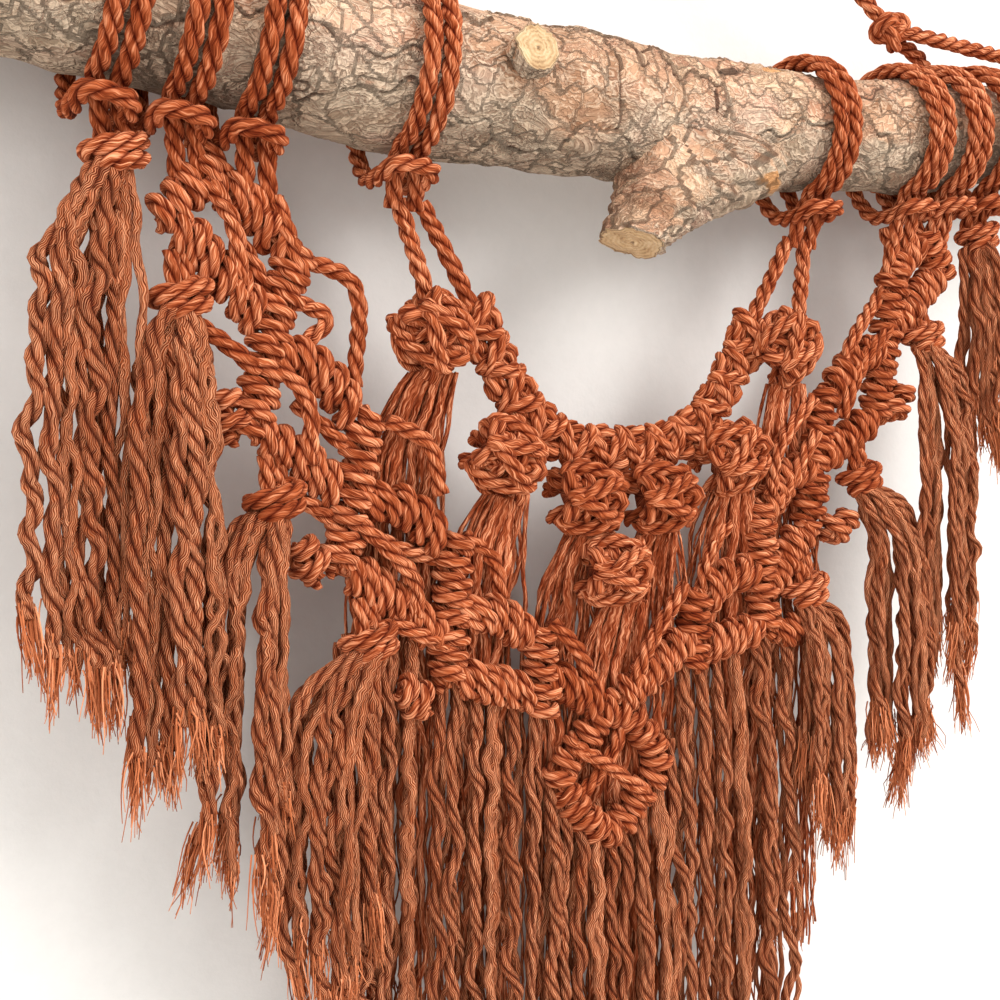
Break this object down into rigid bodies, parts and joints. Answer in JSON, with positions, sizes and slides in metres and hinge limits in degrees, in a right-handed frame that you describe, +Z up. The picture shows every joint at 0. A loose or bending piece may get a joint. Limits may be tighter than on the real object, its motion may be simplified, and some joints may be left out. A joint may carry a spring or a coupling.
{
  "type": "macrame wall hanging",
  "caption": "Macrame wall hanging: knotted cotton cord wings, tassels and a berry-knot garland tied along a pine branch that hangs from one nail.",
  "frame": {"origin": "the point where the hanging cord rests on its nail", "axes": "+X along the branch to the right as seen from the room, +Y into the wall, +Z up"},
  "size_m": [0.4273, 0.064, 0.4489],
  "materials": {
    "pine_bark": "flaky, matt",
    "cotton_cord": "twisted cotton, matt"
  },
  "bodies": {
    "branch": {"branch": "pine_bark", "garland_hitch_left": "cotton_cord", "garland_hitch_right": "cotton_cord", "hanger_cord": "cotton_cord", "hanger_knot_left": "cotton_cord", "hanger_knot_right": "cotton_cord", "hanger_noose_left": "cotton_cord", "hanger_noose_right": "cotton_cord", "wing_hitch_left_1": "cotton_cord", "wing_hitch_left_2": "cotton_cord", "wing_hitch_left_3": "cotton_cord", "wing_hitch_right_1": "cotton_cord", "wing_hitch_right_2": "cotton_cord", "wing_hitch_right_3": "cotton_cord"},
    "panel": {"centre_diamond": "cotton_cord", "centre_row_left": "cotton_cord", "centre_row_right": "cotton_cord", "front_fringe_centre": "cotton_cord", "front_fringe_left": "cotton_cord", "front_fringe_right": "cotton_cord", "wing_column_left_1": "cotton_cord", "wing_column_left_2": "cotton_cord", "wing_column_left_3": "cotton_cord", "wing_column_left_4": "cotton_cord", "wing_column_left_5": "cotton_cord", "wing_column_right_1": "cotton_cord", "wing_column_right_2": "cotton_cord", "wing_column_right_3": "cotton_cord", "wing_column_right_4": "cotton_cord", "wing_column_right_5": "cotton_cord", "wing_row_left_1": "cotton_cord", "wing_row_left_2": "cotton_cord", "wing_row_left_3": "cotton_cord", "wing_row_left_4": "cotton_cord", "wing_row_right_1": "cotton_cord", "wing_row_right_2": "cotton_cord", "wing_row_right_3": "cotton_cord", "wing_row_right_4": "cotton_cord"},
    "garland": {"back_fringe": "cotton_cord", "berry_knot_centre": "cotton_cord", "berry_knot_left_1": "cotton_cord", "berry_knot_left_2": "cotton_cord", "berry_knot_left_3": "cotton_cord", "berry_knot_right_1": "cotton_cord", "berry_knot_right_2": "cotton_cord", "berry_knot_right_3": "cotton_cord", "garland_braid": "cotton_cord", "garland_strand_left_inner": "cotton_cord", "garland_strand_left_outer": "cotton_cord", "garland_strand_right_inner": "cotton_cord", "garland_strand_right_outer": "cotton_cord"},
    "tassel_left_1": {"tassel_left_1": "cotton_cord"},
    "tassel_left_2": {"tassel_left_2": "cotton_cord"},
    "tassel_left_3": {"tassel_left_3": "cotton_cord"},
    "tassel_left_4": {"tassel_left_4": "cotton_cord"},
    "tassel_right_1": {"tassel_right_1": "cotton_cord"},
    "tassel_right_2": {"tassel_right_2": "cotton_cord"},
    "tassel_right_3": {"tassel_right_3": "cotton_cord"},
    "tassel_right_4": {"tassel_right_4": "cotton_cord"}
  },
  "joints": [
    {"name": "panel_swing", "type": "hinge", "parent": "branch", "child": "panel", "pos_m": [0, 0, -0.14085], "axis": [-1, 0, 0], "range_deg": [0, 40]},
    {"name": "garland_swing", "type": "hinge", "parent": "branch", "child": "garland", "pos_m": [0, 0, -0.14339], "axis": [-1, 0, 0], "range_deg": [0, 40]},
    {"name": "tassel_left_1_swing", "type": "hinge", "parent": "branch", "child": "tassel_left_1", "pos_m": [-0.142, -0.002, -0.13741], "axis": [-1, 0, 0], "range_deg": [0, 30]},
    {"name": "tassel_left_2_swing", "type": "hinge", "parent": "panel", "child": "tassel_left_2", "pos_m": [-0.127, -0.002, -0.17003], "axis": [-1, 0, 0], "range_deg": [0, 30]},
    {"name": "tassel_left_3_swing", "type": "hinge", "parent": "panel", "child": "tassel_left_3", "pos_m": [-0.104, -0.002, -0.21862], "axis": [-1, 0, 0], "range_deg": [0, 30]},
    {"name": "tassel_left_4_swing", "type": "hinge", "parent": "panel", "child": "tassel_left_4", "pos_m": [-0.079, -0.002, -0.25537], "axis": [-1, 0, 0], "range_deg": [0, 30]},
    {"name": "tassel_right_1_swing", "type": "hinge", "parent": "branch", "child": "tassel_right_1", "pos_m": [0.142, -0.002, -0.13409], "axis": [-1, 0, 0], "range_deg": [0, 30]},
    {"name": "tassel_right_2_swing", "type": "hinge", "parent": "panel", "child": "tassel_right_2", "pos_m": [0.117, -0.002, -0.16867], "axis": [-1, 0, 0], "range_deg": [0, 30]},
    {"name": "tassel_right_3_swing", "type": "hinge", "parent": "panel", "child": "tassel_right_3", "pos_m": [0.09, -0.002, -0.21457], "axis": [-1, 0, 0], "range_deg": [0, 30]},
    {"name": "tassel_right_4_swing", "type": "hinge", "parent": "panel", "child": "tassel_right_4", "pos_m": [0.068, -0.002, -0.24934], "axis": [-1, 0, 0], "range_deg": [0, 30]}
  ],
  "couplings": [
    {"joint": "garland_swing", "follows": "panel_swing", "ratio": 1}
  ]
}
